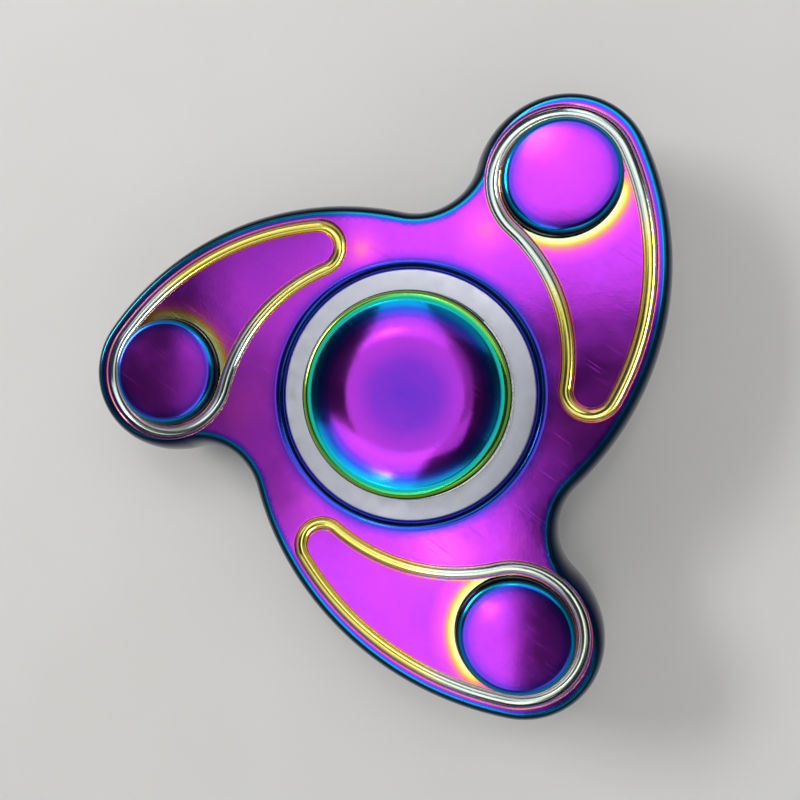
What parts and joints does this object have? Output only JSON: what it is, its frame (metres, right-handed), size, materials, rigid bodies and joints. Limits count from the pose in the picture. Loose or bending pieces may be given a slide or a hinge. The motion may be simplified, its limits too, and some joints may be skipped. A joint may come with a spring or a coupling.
{
  "type": "fidget spinner",
  "caption": "Hand spinner: a metal casting with comma-shaped arms and pressed weights turns on a shielded ball bearing between two dished thumb caps.",
  "frame": {"origin": "the spin centre: on the spin axis, on the mid-plane of the bearing", "axes": "+Z along the spin axis through the upper thumb cap; +Y through the first arm's weight"},
  "size_m": [0.054, 0.0511, 0.012],
  "materials": {
    "rainbow_metal": "polished, rainbow interference coating",
    "rainbow_weight": "polished, rainbow interference coating",
    "rainbow_cap": "polished, rainbow interference coating",
    "bearing_steel": "ground, satin",
    "pressed_steel": "pressed sheet, dull",
    "polished_steel": "polished"
  },
  "bodies": {
    "thumb_hub": {"cap_upper": "rainbow_cap", "cap_lower": "rainbow_cap", "inner_race": "bearing_steel"},
    "rotor": {"casting": "rainbow_metal", "weight_1": "rainbow_weight", "weight_2": "rainbow_weight", "weight_3": "rainbow_weight", "outer_race": "bearing_steel", "shield_upper": "pressed_steel", "shield_lower": "pressed_steel", "snap_ring_upper": "polished_steel", "snap_ring_lower": "polished_steel"},
    "ball_cage": {"cage_upper": "pressed_steel", "cage_lower": "pressed_steel", "cage_rivets": "polished_steel"},
    "rolling_ball_1": {"ball_1": "polished_steel"},
    "rolling_ball_2": {"ball_2": "polished_steel"},
    "rolling_ball_3": {"ball_3": "polished_steel"},
    "rolling_ball_4": {"ball_4": "polished_steel"},
    "rolling_ball_5": {"ball_5": "polished_steel"},
    "rolling_ball_6": {"ball_6": "polished_steel"},
    "rolling_ball_7": {"ball_7": "polished_steel"}
  },
  "joints": [
    {"name": "rotor_spin", "type": "hinge", "parent": "thumb_hub", "child": "rotor", "pos_m": [0, 0, 0], "axis": [0, 0, 1], "continuous": true},
    {"name": "cage_spin", "type": "hinge", "parent": "thumb_hub", "child": "ball_cage", "pos_m": [0, 0, 0], "axis": [0, 0, 1], "continuous": true},
    {"name": "ball_1_spin", "type": "hinge", "parent": "ball_cage", "child": "rolling_ball_1", "pos_m": [0.0075, 0, 0], "axis": [0, 0, 1], "continuous": true},
    {"name": "ball_2_spin", "type": "hinge", "parent": "ball_cage", "child": "rolling_ball_2", "pos_m": [0.00468, 0.00586, 0], "axis": [0, 0, 1], "continuous": true},
    {"name": "ball_3_spin", "type": "hinge", "parent": "ball_cage", "child": "rolling_ball_3", "pos_m": [-0.00167, 0.00731, 0], "axis": [0, 0, 1], "continuous": true},
    {"name": "ball_4_spin", "type": "hinge", "parent": "ball_cage", "child": "rolling_ball_4", "pos_m": [-0.00676, 0.00325, 0], "axis": [0, 0, 1], "continuous": true},
    {"name": "ball_5_spin", "type": "hinge", "parent": "ball_cage", "child": "rolling_ball_5", "pos_m": [-0.00676, -0.00325, 0], "axis": [0, 0, 1], "continuous": true},
    {"name": "ball_6_spin", "type": "hinge", "parent": "ball_cage", "child": "rolling_ball_6", "pos_m": [-0.00167, -0.00731, 0], "axis": [0, 0, 1], "continuous": true},
    {"name": "ball_7_spin", "type": "hinge", "parent": "ball_cage", "child": "rolling_ball_7", "pos_m": [0.00468, -0.00586, 0], "axis": [0, 0, 1], "continuous": true}
  ],
  "couplings": [
    {"joint": "cage_spin", "follows": "rotor_spin", "ratio": 0.6323},
    {"joint": "ball_1_spin", "follows": "rotor_spin", "ratio": 1.7573},
    {"joint": "ball_2_spin", "follows": "rotor_spin", "ratio": 1.7573},
    {"joint": "ball_3_spin", "follows": "rotor_spin", "ratio": 1.7573},
    {"joint": "ball_4_spin", "follows": "rotor_spin", "ratio": 1.7573},
    {"joint": "ball_5_spin", "follows": "rotor_spin", "ratio": 1.7573},
    {"joint": "ball_6_spin", "follows": "rotor_spin", "ratio": 1.7573},
    {"joint": "ball_7_spin", "follows": "rotor_spin", "ratio": 1.7573}
  ]
}
